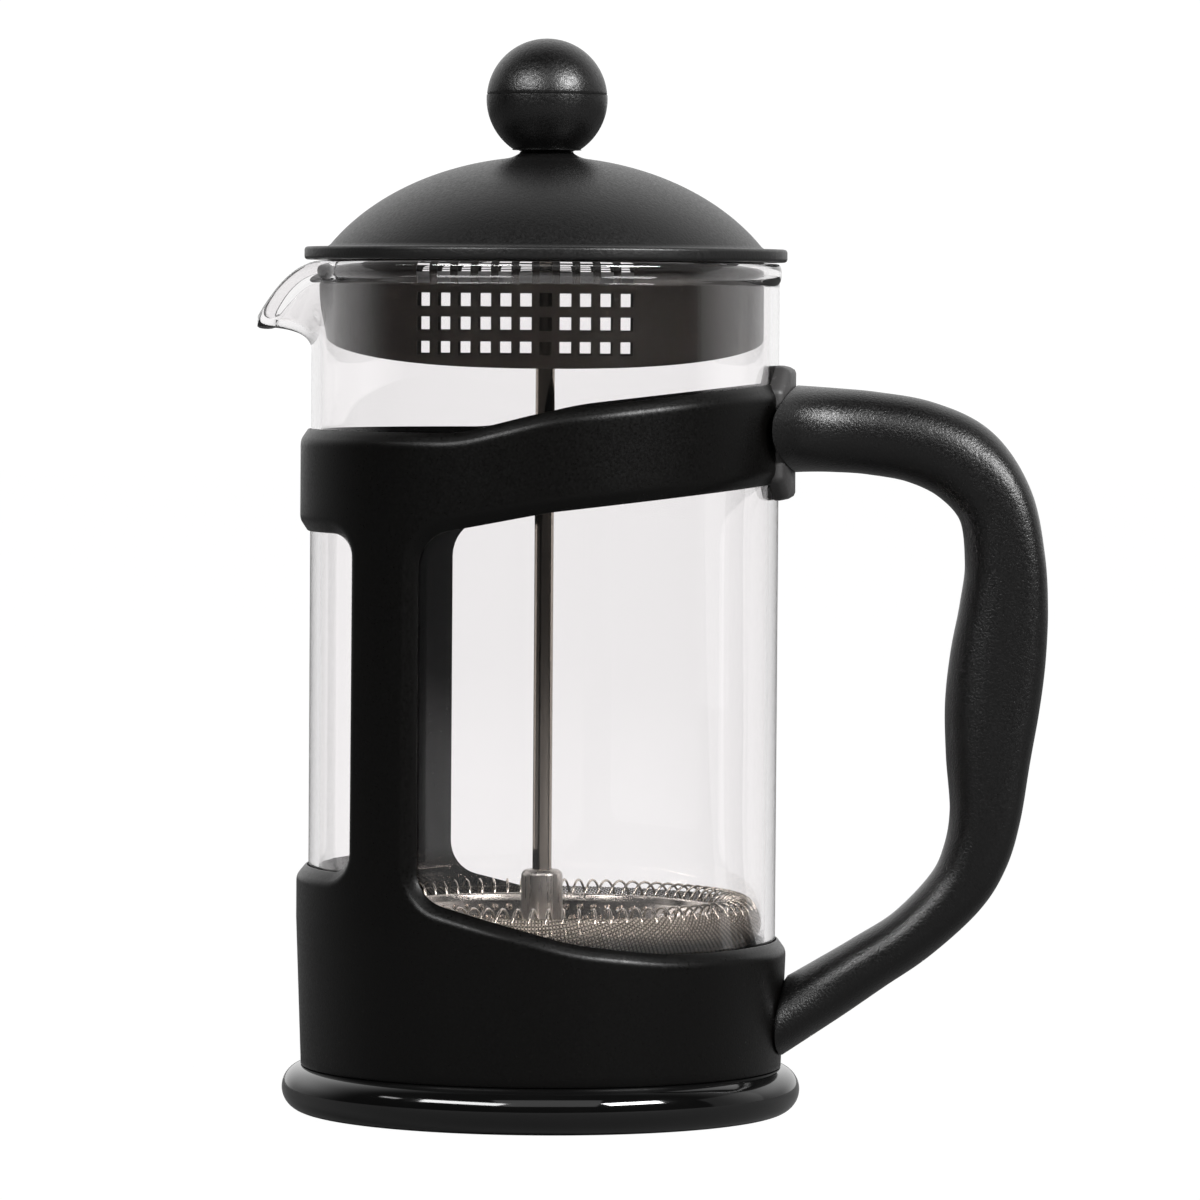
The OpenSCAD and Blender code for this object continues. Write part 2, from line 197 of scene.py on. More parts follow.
def inside(points, loops):
    """Which points lie inside the loops taken together, by the even-odd rule."""
    crossings = np.zeros(len(points), int)
    x, y = points[:, 0:1], points[:, 1:2]
    for loop in loops:
        a = np.array(loop)
        b = np.roll(a, -1, 0)
        spans = (a[:, 1] > y) != (b[:, 1] > y)
        slope = (b[:, 0] - a[:, 0]) / np.where(b[:, 1] == a[:, 1], 1, b[:, 1] - a[:, 1])
        crossings += (spans & (x < a[:, 0] + (y - a[:, 1]) * slope)).sum(1)
    return crossings % 2 == 1


def filled(loops, spacing):
    """Points and triangles that fill the region between loops, with points spread through it."""
    edge = np.array([p for loop in loops for p in loop])
    low, high = edge.min(0), edge.max(0)
    rows = np.arange(low[1], high[1], spacing * 0.866)
    columns = np.arange(low[0], high[0], spacing)
    grid = np.array([(x + spacing / 2 * (j % 2), y) for j, y in enumerate(rows) for x in columns])
    grid = grid[inside(grid, loops)]
    clear = [np.hypot(*(edge - p).T).min() > 0.6 * spacing for p in grid]
    points = np.vstack([edge, grid[np.array(clear, bool)]]) if len(grid) else edge
    segments, base = [], 0
    for loop in loops:
        segments += [(base + i, base + (i + 1) % len(loop)) for i in range(len(loop))]
        base += len(loop)
    out, _, triangles = geometry.delaunay_2d_cdt(
        [Vector(p) for p in points], segments, [], 1, 1e-7)[:3]
    out = np.array([tuple(p) for p in out])
    middles = np.array([out[list(t)].mean(0) for t in triangles])
    keep = inside(middles, loops)
    return out.tolist(), [tuple(t) for t, k in zip(triangles, keep) if k]


def left_normals(points, closed):
    """Unit normals to the left of a path; an open path's two ends get vertical ones."""
    p = np.array(points)
    step = np.roll(p, -1, 0) - p
    step /= np.maximum(np.linalg.norm(step, axis=1), 1e-9)[:, None]
    if not closed:
        step[-1] = step[-2]
    back = np.roll(step, 1, 0)
    if not closed:
        back[0] = step[0]
    along = step + back
    along /= np.linalg.norm(along, axis=1)[:, None]
    normals = np.stack([-along[:, 1], along[:, 0]], 1)
    if not closed:
        normals[0] = (0, np.sign(normals[0][1]))
        normals[-1] = (0, np.sign(normals[-1][1]))
    return normals


def shell_panel(outer, holes, section, place, spacing=2.5):
    """Points and faces of a panel with a moulded edge all round it.

    outer is a list of open chains, run one after another round the panel's left side and joined
    by straight lines, or one closed chain. holes are closed chains. section lists (inset, lift)
    from the panel's back to its face. place(u, v, lift) puts a point in space."""
    closed_outer = len(outer) == 1
    chains = [(c, closed_outer) for c in outer] + [(c, True) for c in holes]
    parts, first, last = [], [], []
    for chain, closed in chains:
        base, normals = np.array(chain), left_normals(chain, closed)
        on_foot = base[:, 1] < FOOT_TOP + 2
        scale = np.where(on_foot, FOOT_EDGE_SHARE, 1.0)[:, None]
        rings = [base + normals * inset * scale for inset, _ in section]
        points = [place(u, v, lift) for ring, (_, lift) in zip(rings, section) for u, v in ring]
        n = len(base)
        faces = [
            (j * n + i, j * n + (i + 1) % n, (j + 1) * n + (i + 1) % n, (j + 1) * n + i)
            for j in range(len(section) - 1)
            for i in range(n if closed else n - 1)
        ]
        parts.append((points, faces))
        first.append(rings[0].tolist())
        last.append(rings[-1].tolist())
    for rings, lift in ((first, section[0][1]), (last, section[-1][1])):
        loops = [joined_chains(rings[:len(outer)], spacing)] + rings[len(outer):]
        points, faces = filled(loops, spacing)
        parts.append(([place(u, v, lift) for u, v in points], faces))
    return joined(*parts)


def joined_chains(chains, spacing):
    """One closed loop from chains, with points along the straight joins between them."""
    if len(chains) == 1:
        return chains[0]
    loop = []
    for i, chain in enumerate(chains):
        loop += chain
        start, end = np.array(chain[-1]), np.array(chains[(i + 1) % len(chains)][0])
        steps = max(2, int(np.linalg.norm(end - start) / spacing))
        loop += [tuple(start + (end - start) * k / steps) for k in range(1, steps)]
    return loop


# --- materials ----------------------------------------------------------------------------

class Nodes:
    """A material's node tree, with short calls to add and link nodes."""

    def __init__(self, name):
        self.material = bpy.data.materials.new(name)
        self.material.use_nodes = True
        self.tree = self.material.node_tree
        self.surface = self.tree.nodes["Principled BSDF"]
        self.place = self.add("ShaderNodeTexCoord").outputs["Object"]

    def add(self, kind, inputs=None, **settings):
        node = self.tree.nodes.new(kind)
        for key, value in settings.items():
            setattr(node, key, value)
        for key, value in (inputs or {}).items():
            self.feed(node.inputs[key], value)
        return node

    def feed(self, socket, value):
        if isinstance(value, bpy.types.NodeSocket):
            self.tree.links.new(value, socket)
        else:
            socket.default_value = value

    def noise(self, scale, detail=2.0, roughness=0.5, stretch=None):
        place = self.place
        if stretch:
            place = self.add("ShaderNodeMapping", {"Vector": place, "Scale": stretch}).outputs[0]
        return self.add("ShaderNodeTexNoise", {
            "Vector": place, "Scale": scale, "Detail": detail, "Roughness": roughness,
        }).outputs["Fac"]

    def remap(self, value, low, high, start=0.3, end=0.7):
        return self.add("ShaderNodeMapRange", {
            "Value": value, "From Min": start, "From Max": end, "To Min": low, "To Max": high,
        }).outputs["Result"]

    def math(self, operation, a, b=0.0, clamp=False):
        node = self.add("ShaderNodeMath", operation=operation, use_clamp=clamp)
        self.feed(node.inputs[0], a)
        self.feed(node.inputs[1], b)
        return node.outputs[0]

    def mix(self, factor, a, b):
        node = self.add("ShaderNodeMix", data_type="RGBA")
        self.feed(node.inputs[0], factor)
        self.feed(node.inputs[6], a)
        self.feed(node.inputs[7], b)
        return node.outputs[2]

    def bump(self, height, strength, distance):
        inputs = {"Height": height, "Strength": strength, "Distance": distance}
        return self.add("ShaderNodeBump", inputs).outputs[0]

    def set(self, **values):
        for key, value in values.items():
            self.feed(self.surface.inputs[key.replace("_", " ")], value)
        return self.material


def tint(rgb, gain=1.0):
    return tuple(c * gain for c in rgb) + (1.0,)


def moulded_plastic(name, rgb, rough, grain=0.18, grain_size=0.55, specular=0.5):
    """Black plastic from a spark-eroded mould: fine grain, faint cloudiness, dust-size specks."""
    n = Nodes(name)
    cloud = n.noise(60, detail=3)
    fine = n.noise(1 / (grain_size * MM), detail=2, roughness=0.65)
    specks = n.remap(n.noise(1 / (0.9 * MM), detail=0), 0.0, 1.0, 0.78, 0.84)
    colour = n.mix(cloud, tint(rgb, 0.8), tint(rgb, 1.25))
    colour = n.mix(n.math("MULTIPLY", specks, 0.5), colour, tint(rgb, 4))
    normal = n.bump(fine, grain, 0.16 * MM)
    return n.set(
        Base_Color=colour, Roughness=n.remap(fine, rough - 0.07, rough + 0.07),
        Specular_IOR_Level=specular, Normal=normal)


def gloss_plastic(name, rgb):
    """Polished black plastic with faint polishing marks."""
    n = Nodes(name)
    cloud = n.noise(90, detail=4)
    ripple = n.noise(220, detail=1, stretch=(1, 1, 0.3))
    return n.set(
        Base_Color=n.mix(cloud, tint(rgb, 0.7), tint(rgb, 1.4)),
        Roughness=n.remap(cloud, 0.05, 0.11), Specular_IOR_Level=0.5,
        Normal=n.bump(ripple, 0.05, 0.05 * MM))


def metal(name, rgb, rough, streak=(1, 1, 1), streak_size=0.3, depth=0.1):
    """Steel with streaks left by drawing, turning or polishing."""
    n = Nodes(name)
    streaks = n.noise(1 / (streak_size * MM), detail=3, stretch=streak)
    cloud = n.noise(150, detail=2)
    return n.set(
        Base_Color=n.mix(cloud, tint(rgb, 0.85), tint(rgb, 1.1)), Metallic=1.0,
        Roughness=n.remap(streaks, rough * 0.7, rough * 1.3),
        Normal=n.bump(streaks, depth, 0.03 * MM))


def clear_glass(name):
    """Borosilicate: clear, faintly warm, with a trace of drawing ripple."""
    n = Nodes(name)
    ripple = n.noise(35, detail=1, stretch=(1, 1, 0.15))
    haze = n.noise(20, detail=2)
    return n.set(
        Base_Color=n.mix(haze, (0.970, 0.957, 0.960, 1), (0.979, 0.966, 0.969, 1)),
        Roughness=n.remap(haze, 0.0, 0.012), IOR=1.47, Transmission_Weight=1.0,
        Normal=n.bump(ripple, 0.04, 0.3 * MM))


def woven_steel(name, rgb, pitch=0.55):
    """Plain-weave steel cloth; the weave follows the flat sheet that the dish was pressed from. Its colour
    carries painted highlights on the wire crests and painted shade on the wire flanks and in the gaps.
    """
    n = Nodes(name)
    uv = n.add("ShaderNodeUVMap", uv_map="cloth").outputs[0]
    part = n.add("ShaderNodeSeparateXYZ", {"Vector": uv})
    turns = math.pi / (pitch * MM)
    across = n.math("SINE", n.math("MULTIPLY", part.outputs[0], turns))
    along = n.math("SINE", n.math("MULTIPLY", part.outputs[1], turns))
    wires = n.math("MAXIMUM", n.math("ABSOLUTE", across), n.math("ABSOLUTE", along))
    over = n.math("MULTIPLY", across, along)
    height = n.math("ADD", wires, n.math("MULTIPLY", over, 0.35))
    # Painted light and shade: the colour runs from dark on the wire flanks and in the gaps to bright on the
    # wire crests, lighter and darker by turns from one crossing to the next.
    lit = n.remap(n.math("ADD", wires, n.math("MULTIPLY", over, 0.12)), 0.0, 1.0, 0.86, 1.04)
    painted_weave_shading = n.mix(lit, tint(rgb, 0.22), tint(rgb, 1.4))
    return n.set(
        Base_Color=n.mix(n.math("MULTIPLY", n.noise(500), 0.4), painted_weave_shading, tint(rgb, 0.8)), Metallic=1.0,
        Roughness=n.remap(wires, 0.6, 0.42, 0.8, 1.0), Alpha=n.remap(wires, 0.0, 1.0, 0.8, 0.88),
        Normal=n.bump(height, 1.0, 0.14 * MM))


# --- stand --------------------------------------------------------------------------------

WINDOW_LOW, WINDOW_HIGH = 51, 120.3
# The outside of the cage: height, radius
CAGE_WALLS = (
    (FOOT_TOP, CAGE_R - 1.1), (40, CAGE_R), (WINDOW_LOW, CAGE_R),
    (WINDOW_HIGH, CAGE_R - 0.4), (160, CAGE_R - 0.4),
)
STRUT_LEFT, STRUT_RIGHT = -38.7, -23.8
FAR = 70

ABOVE_BAND = [(FAR, 153.6, 0), (4, 146, 80), (-15, 141.3, 35), (-FAR, 141.3, 0)]
SPOUT_WINDOW = [
    (-FAR, WINDOW_LOW, 0), (STRUT_LEFT, WINDOW_LOW, 4.5),
    (STRUT_LEFT, WINDOW_HIGH, 4.5), (-FAR, WINDOW_HIGH, 0),
]
HANDLE_OPENING = [
    (FAR, 133, 0), (4, 125.5, 80), (STRUT_RIGHT, WINDOW_HIGH, 8), (STRUT_RIGHT, 47.2, 7.5),
    (10, 38.4, 60), (30, 36, 80), (FAR, 36, 0),
]


def cage_radius(z):
    return float(np.interp(z, *zip(*CAGE_WALLS)))


def round_cage(path, step=1.0):
    """A front-view path (x, z) laid on the front half of the cage as (angle * radius, z)."""
    chain = []
    for (x0, z0), (x1, z1) in zip(path, path[1:]):
        low, high = sorted((x0, x1))
        if low > CAGE_R or high < -CAGE_R:
            continue
        cut = [min(max(x, -CAGE_R), CAGE_R) for x in (x0, x1)]
        a0, a1 = (math.acos(x / CAGE_R) for x in cut)
        level = x0 == x1 or abs(a1 - a0) < 1e-9
        steps = max(1, math.ceil(max(abs(a1 - a0) * CAGE_R, 0 if not level else abs(z1 - z0)) / step))
        for i in range(steps + 1):
            a = a0 + (a1 - a0) * i / steps
            x = CAGE_R * math.cos(a)
            z = z0 + (z1 - z0) * (i / steps if level else (x - x0) / (x1 - x0))
            point = (a * CAGE_R, z)
            if not chain or math.dist(point, chain[-1]) > 0.05:
                chain.append(point)
    return chain


def behind(chain):
    """The same chain on the back of the cage, run the other way."""
    return [(2 * math.pi * CAGE_R - u, v) for u, v in reversed(chain)]


def on_cage(u, v, lift):
    a = u / CAGE_R
    r = CAGE_IN + (cage_radius(v) - CAGE_IN) * lift
    return (r * math.cos(a), -r * math.sin(a), v)


# The moulded edge as (inset, lift): a small flat, a long chamfer, then a soft shoulder
EDGE = [
    (0, 0), (0, 0.1), (0.08, 0.17), (1.0, 0.52), (1.75, 0.79), (2.0, 0.86),
    (2.3, 0.92), (2.6, 0.965), (2.95, 0.99), (3.4, 1),
]


def make_frame():
    around = 2 * math.pi * CAGE_R
    low = [(u, FOOT_TOP) for u in np.linspace(0, around, 240)]
    opening = round_cage(rounded(HANDLE_OPENING))
    band_top = round_cage(rounded(ABOVE_BAND))
    window = round_cage(rounded(SPOUT_WINDOW))
    band_top = band_top + behind(band_top)[1:]
    window = window + behind(window)[1:-1]
    outer = [low, behind(opening), band_top[::-1], opening]
    walls = shell_panel(outer, [window], EDGE, on_cage)
    floor = revolved([
        (28, FOOT_TOP - 2), (48.2, FOOT_TOP - 2), (48.2, FOOT_TOP), (CAGE_IN + 0.4, FOOT_TOP),
        (CAGE_IN + 0.4, FOOT_TOP + 1), (CAGE_IN, FOOT_TOP + 1), (CAGE_IN - 1, FOOT_TOP), (28, FOOT_TOP),
    ])
    piece = mesh_object("cage", *joined(walls, floor), sharp=50)
    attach(piece, "stand")
    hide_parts("frame")
    piece.data.materials.append(moulded_plastic(
        "cage_plastic", (0.0008, 0.0007, 0.0006), 0.34, specular=0.17))


def make_foot():
    ring = 49
    half = FOOT_TOP / 2 + 0.05
    profile = [(0, 5.2), (43.6, 5.2), (44, 4.8), (44, 0.3), (44.3, 0)]
    profile += [
        (ring + (FOOT_R - ring) * math.cos(a), half * (1 + math.sin(a)))
        for a in np.radians(np.linspace(-90, 72, 40))
    ]
    profile += [(50, FOOT_TOP), (48.3, FOOT_TOP), (48.3, FOOT_TOP - 2), (0, FOOT_TOP - 2)]
    piece = turned_piece("foot_ring", profile)
    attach(piece, "stand")
    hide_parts("base_foot")
    piece.data.materials.append(gloss_plastic("foot_plastic", (0.002, 0.002, 0.002)))


SADDLE_OUTLINE = [
    (-15.5, 150, 2), (-10, 155, 2.5), (10, 155, 2.5), (15.5, 150, 2),
    (15.5, 131.5, 2), (10.5, 127.3, 2.5), (-10.5, 127.3, 2.5), (-15.5, 131.5, 2),
]


def make_saddle():
    """The plate under the handle's end; its own two ends show above and below the band."""
    outside = extent("handle_saddle")[1].x
    back = CAGE_IN + 0.1

    def on_saddle(u, v, lift):
        a = math.asin(u / outside)
        r = back + (outside - back) * lift
        return (r * math.cos(a), r * math.sin(a), v)

    path = rounded(SADDLE_OUTLINE, 5)
    chain = []
    for (x0, z0), (x1, z1) in zip(path, path[1:] + path[:1]):
        steps = max(1, round(math.dist((x0, z0), (x1, z1)) / 1.0))
        chain += [(x0 + (x1 - x0) * i / steps, z0 + (z1 - z0) * i / steps) for i in range(steps)]
    section = [(0, 0), (0, 0.25), (0.25, 0.6), (0.8, 0.9), (1.5, 1)]
    piece = mesh_object("handle_saddle_plate", *shell_panel([chain[::-1]], [], section, on_saddle), sharp=50)
    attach(piece, "stand")
    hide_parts("handle_saddle")
    piece.data.materials.append(moulded_plastic("saddle_plastic", (0.025, 0.024, 0.024), 0.5))


# Stations of the handle: x, z, depth in the plane of the bend, width across it
HANDLE_PATH = np.array([
    (46, 142, 18.2, 46), (50, 142, 18.2, 37), (54, 142, 17.8, 29), (60, 141.8, 17.4, 22.5),
    (68, 141.2, 17.2, 19.5), (78, 139.4, 17.3, 19.2), (87, 135, 17.4, 19.4),
    (93.4, 126.5, 16, 19.8), (95.5, 115, 16.7, 20), (95.3, 105, 18.4, 20),
    (94.2, 95, 19.8, 20), (93.1, 85, 19.6, 20), (92.4, 75, 17.7, 20),
    (91.9, 63, 14.9, 19.5), (89.9, 54, 13.7, 18.5), (85.8, 46.4, 12.6, 17.5),
    (77, 37.6, 11.7, 17), (68, 31.5, 12, 17.5), (60, 26.3, 12.7, 19),
    (53, 21.9, 13.2, 23), (46, 17.5, 13.6, 28),
])
ROUND_END, BOXY_GRIP, SQUARE_FLARE = 2.2, 4.6, 2.7      # superellipse powers
GRIP_START, GRIP_FULL, GRIP_END, GRIP_OFF = 6, 8, 13, 16      # stations


def spline(path, t):
    """A point of the Catmull-Rom curve through the path; t counts stations."""
    i = min(int(max(t, 0)), len(path) - 2)
    u = t - i
    a, b, c, d = (path[min(max(k, 0), len(path) - 1)] for k in (i - 1, i, i + 1, i + 2))
    return 0.5 * (2 * b + (c - a) * u + (2 * a - 5 * b + 4 * c - d) * u**2
                  + (3 * b - a - 3 * c + d) * u**3)


def squareness(t, angle):
    """The outer side of the grip is boxier than its inner side and than the arms."""
    if t < GRIP_START or math.cos(angle) <= 0:
        return ROUND_END + (SQUARE_FLARE - ROUND_END) * max(0, 1 - t / 3)
    grip = np.interp(t, (GRIP_START, GRIP_FULL, GRIP_END, GRIP_OFF), (0, 1, 1, 0))
    return ROUND_END + (BOXY_GRIP - ROUND_END) * grip


def handle_point(t, angle, shrink=0.0):
    x, z, depth, width = spline(HANDLE_PATH, t)
    along = (spline(HANDLE_PATH, t + 0.01) - spline(HANDLE_PATH, t - 0.01))[:2]
    along /= np.linalg.norm(along)
    out = (-along[1], along[0])
    power = squareness(t, angle)

    def reach(size, wave):
        return (size / 2 - shrink) * math.copysign(abs(wave) ** (2 / power), wave)

    d, w = reach(depth, math.cos(angle)), reach(width, math.sin(angle))
    return np.array((x + out[0] * d, w, z + out[1] * d))


def crossing(angle, low, high, radius_at, shrink=0.0):
    """Where a line along the handle passes the cage, between stations low and high."""
    def beyond(t):
        x, y, z = handle_point(t, angle, shrink)
        return math.hypot(x, y) > radius_at(z)
    side = beyond(low)
    for _ in range(30):
        middle = (low + high) / 2
        low, high = (middle, high) if beyond(middle) == side else (low, middle)
    return (low + high) / 2


def make_handle():
    saddle = extent("handle_saddle")[1].x
    sides, rings, lip = 64, 220, 0.5
    last = len(HANDLE_PATH) - 1
    points = []
    for k in range(sides):
        angle = 2 * math.pi * k / sides
        ends = []
        for shrink in (lip, 0.0):
            ends.append((crossing(angle, 0, 4, lambda z: saddle, shrink),
                         crossing(angle, last - 4, last, cage_radius, shrink)))
        start, end = ends[1][0] + 0.09, ends[1][1] - 0.09
        line = [handle_point(ends[0][0], angle, lip)]
        line += [handle_point(start + (end - start) * i / rings, angle) for i in range(rings + 1)]
        line.append(handle_point(ends[0][1], angle, lip))
        points += line
    count = rings + 3
    faces = [
        (k * count + i, k * count + i + 1, (k + 1) % sides * count + i + 1, (k + 1) % sides * count + i)
        for k in range(sides) for i in range(count - 1)
    ]
    points = [tuple(p) for p in points]
    for i in (0, count - 1):
        ring = [k * count + i for k in range(sides)]
        points.append(tuple(np.mean([points[j] for j in ring], axis=0)))
        faces += [(ring[k], ring[(k + 1) % sides], len(points) - 1) for k in range(sides)]
    piece = mesh_object("handle_moulding", points, faces, sharp=50)
    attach(piece, "stand")
    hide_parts("handle")
    piece.data.materials.append(moulded_plastic(
        "handle_plastic", (0.0008, 0.0007, 0.0007), 0.34, grain=0.7, grain_size=0.5, specular=0.4))


# --- beaker -------------------------------------------------------------------------------

SPOUT_HALF = math.radians(27)
SPOUT_REACH, SPOUT_DIP, LIP_CURL, RIM_ROUND = 11.4, 13.3, 1.2, 0.4
SPOUT_ROOT = RIM_Z - 19
HEEL_R, GLASS_FLOOR = 9, 2.8


def spout_bell(a):
    return 0.0 if abs(a) >= SPOUT_HALF else math.cos(math.pi / 2 * a / SPOUT_HALF) ** 2


def glass_outside(a, t):
    """A point of the outer surface from the spout's root (t = 0) to the rim (t = 1)."""
    bell = spout_bell(a)
    r = GLASS_R + SPOUT_REACH * bell * max(t, 0) ** 2.2
    top = RIM_Z - RIM_ROUND - SPOUT_DIP * bell ** 1.92
    z = SPOUT_ROOT + (top - SPOUT_ROOT) * t + LIP_CURL * bell**2 * 4 * t * (1 - t)
    return np.array((-r * math.cos(a), -r * math.sin(a), z))


def glass_normal(a, t):
    n = np.cross(glass_outside(a + 0.004, t) - glass_outside(a - 0.004, t),
                 glass_outside(a, t + 0.005) - glass_outside(a, t - 0.005))
    return n / np.linalg.norm(n)


def glass_section(a, rows=24, bead=3.4, swell=0.42):
    """The closed outline of the glass at angle a: up the outside, over the rim, down the inside."""
    def low(r, z):
        return np.array((-r * math.cos(a), -r * math.sin(a), z))

    heel = GLASS_R - HEEL_R
    outside = [low(0, GLASS_LOW + 1), low(18, GLASS_LOW + 0.9), low(32, GLASS_LOW + 0.4), low(36, GLASS_LOW)]
    outside += [low(r, z) for r, z in arc((heel, GLASS_LOW + HEEL_R), HEEL_R, -90, 0, 10)]
    outside += [low(GLASS_R, z) for z in np.linspace(GLASS_LOW + HEEL_R + 12, SPOUT_ROOT - 6, 9)]
    ts = 1 - (1 - np.linspace(0, 1, rows + 1)) ** 1.3
    upper = [glass_outside(a, t) for t in ts]
    normals = [glass_normal(a, t) for t in ts]
    steps = [math.dist(p, q) for p, q in zip(upper, upper[1:])] + [0]
    from_rim = np.cumsum(steps[::-1])[::-1]
    bulge = [swell * math.sqrt(max(0, 1 - (2 * d / bead - 1) ** 2)) if d < bead else 0 for d in from_rim]
    skin = [p + n * b for p, n, b in zip(upper, normals, bulge)]
    lining = [p - n * (GLASS_WALL + b) for p, n, b in zip(upper, normals, bulge)]
    middle, half = (skin[-1] + lining[-1]) / 2, (skin[-1] - lining[-1]) / 2
    up = np.array((0, 0, 1)) * RIM_ROUND
    rim = [middle + half * math.cos(c) + up * math.sin(c) for c in np.linspace(0, math.pi, 9)[1:-1]]
    inner = HEEL_R - GLASS_WALL
    floor = GLASS_LOW + GLASS_FLOOR
    lower = [low(GLASS_R - GLASS_WALL, z) for z in np.linspace(SPOUT_ROOT - 6, GLASS_LOW + HEEL_R + 12, 9)]
    lower += [low(r, z) for r, z in arc((heel, floor + inner), inner, 0, -90, 10)]
    lower += [low(18, floor + 0.5), low(0, floor + 0.6)]
    return outside + skin + rim + lining[::-1] + lower


def make_glass():
    spout = np.radians(np.arange(-30, 30, 1.25))
    rest = np.radians(np.arange(30, 330, 2.5))
    sections = [glass_section(a) for a in np.concatenate([spout, rest])]
    n, m = len(sections[0]), len(sections)
    points = [tuple(p) for s in sections for p in s]
    faces = [
        (i * n + k, (i + 1) % m * n + k, (i + 1) % m * n + k + 1, i * n + k + 1)
        for i in range(m) for k in range(n - 1)
    ]
    piece = mesh_object("beaker", points, faces, sharp=60)
    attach(piece, "beaker")
    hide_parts("glass_beaker")
    piece.data.materials.append(clear_glass("beaker_glass"))


# --- lid ----------------------------------------------------------------------------------

DOME_A, DOME_B, LID_WALL = 52, 38, 2
NECK_R = 5.6


def dome_height(r, a, b, top):
    return top - b * (1 - math.sqrt(1 - (r / a) ** 2))


def dome_radius(z, a, b, top):
    return a * math.sqrt(1 - (1 - (top - z) / b) ** 2)


def make_dome():
    flange_top = FLANGE_LOW + 2.7
    top = NECK_TOP - 1
    foot = dome_radius(flange_top, DOME_A, DOME_B, top)
    inner = (DOME_A - LID_WALL, DOME_B - LID_WALL, top - LID_WALL)
    inner_foot = dome_radius(FLANGE_LOW, *inner)
    bore = 3.65
    profile = [(bore, NECK_TOP), (NECK_R - 0.25, NECK_TOP), (NECK_R, NECK_TOP - 0.25)]
    for r in np.linspace(NECK_R + 0.05, 8.6, 9):
        lift = ((8.6 - r) / (8.6 - NECK_R)) ** 2.2
        profile.append((r, dome_height(r, DOME_A, DOME_B, top) + 0.85 * lift))
    profile += [
        (r, dome_height(r, DOME_A, DOME_B, top))
        for r in 8.6 + (foot - 0.5 - 8.6) * np.sin(np.radians(np.linspace(4, 90, 30)))
    ]
    profile += [(foot - 0.1, flange_top + 0.28), (foot + 0.25, flange_top + 0.05), (foot + 0.6, flange_top)]
    edge = 0.7
    profile += arc((FLANGE_R - edge, flange_top - edge), edge, 90, 0, 6)
    profile += arc((FLANGE_R - edge, FLANGE_LOW + edge), edge, 0, -90, 6)
    profile += [
        (r, dome_height(r, *inner))
        for r in NECK_R + (inner_foot - NECK_R) * np.sin(np.radians(np.linspace(90, 0, 20)))
    ]
    profile += [(NECK_R, FLANGE_LOW + 0.1), (bore, FLANGE_LOW + 0.1)]
    piece = turned_piece("lid_cover", profile, sharp=40, steps=256)
    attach(piece, "lid")
    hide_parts("lid_dome")
    piece.data.materials.append(moulded_plastic(
        "lid_plastic", (0.0016, 0.0015, 0.0015), 0.4, specular=0.42, grain=0.35, grain_size=0.6))


def dress(node, look):
    """Show a CAD part in its own shape, in the given material."""
    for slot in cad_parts[node].material_slots:
        slot.material = look


def dress_strainer():
    dress("lid_strainer", moulded_plastic("strainer_plastic", (0.013, 0.0095, 0.0068), 0.42, specular=0.33))


# --- plunger ------------------------------------------------------------------------------

def make_knob():
    centre = KNOB_TOP - KNOB_R - 0.02
    ball = KNOB_R + 0.02
    wall = 2.3
    plastic = moulded_plastic(
        "knob_plastic", (0.001, 0.0009, 0.0009), 0.35, specular=0.45, grain=0.5, grain_size=0.55)

    def ring(radius, start, end, steps):
        return arc((0, centre), radius, start, end, steps)

    seam_angle = math.degrees(math.asin((SEAM_Z + 0.05 - centre) / ball))
    cap = ring(ball, 90, seam_angle + 1, 40) + ring(ball - 0.12, seam_angle, seam_angle, 1)[:1]
    cap += ring(ball - wall, seam_angle + 1, 90, 24)
    cap = [(max(r, 0), z) for r, z in cap]
    cap[0], cap[-1] = (0, cap[0][1]), (0, cap[-1][1])
    upper = turned_piece("knob_upper_half", cap, sharp=40)
    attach(upper, "plunger")
    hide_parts("knob_cap")

    low_angle = math.degrees(math.asin((KNOB_LOW + 0.3 - centre) / ball))
    bore, sleeve, sleeve_top = 3.4, 6, KNOB_LOW + 9.5
    foot = KNOB_LOW - 0.16
    base = [(bore, sleeve_top), (bore, foot), (5.6, foot), (5.8, KNOB_LOW), (7.2, KNOB_LOW + 0.06)]
    base += ring(ball + 0.05, low_angle, seam_angle - 0.6, 36)
    base += [(math.cos(math.radians(seam_angle)) * (ball - 0.1), SEAM_Z + 0.02)]
    base += [(ball - wall, SEAM_Z), *ring(ball - wall, seam_angle - 2, -58, 14)]
    base += [(sleeve, KNOB_LOW + 3), (sleeve, sleeve_top)]
    lower = turned_piece("knob_lower_half", base, sharp=40)
    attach(lower, "plunger")
    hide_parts("knob_base")
    for piece in (upper, lower):
        piece.data.materials.append(plastic)


def make_rod():
    c = 0.4
    profile = [(0, ROD_LOW), (ROD_R - c, ROD_LOW), (ROD_R, ROD_LOW + c)]
    profile += [(ROD_R, z) for z in np.linspace(ROD_LOW + 10, ROD_TOP - 10, 12)]
    profile += [(ROD_R, ROD_TOP - c), (ROD_R - c, ROD_TOP), (0, ROD_TOP)]
    piece = turned_piece("rod", profile, steps=64)
    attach(piece, "plunger")
    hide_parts("plunger_rod")
    piece.data.materials.append(metal(
        "rod_chrome", (0.3, 0.265, 0.23), 0.07, streak=(1, 1, 0.02), depth=0.03))


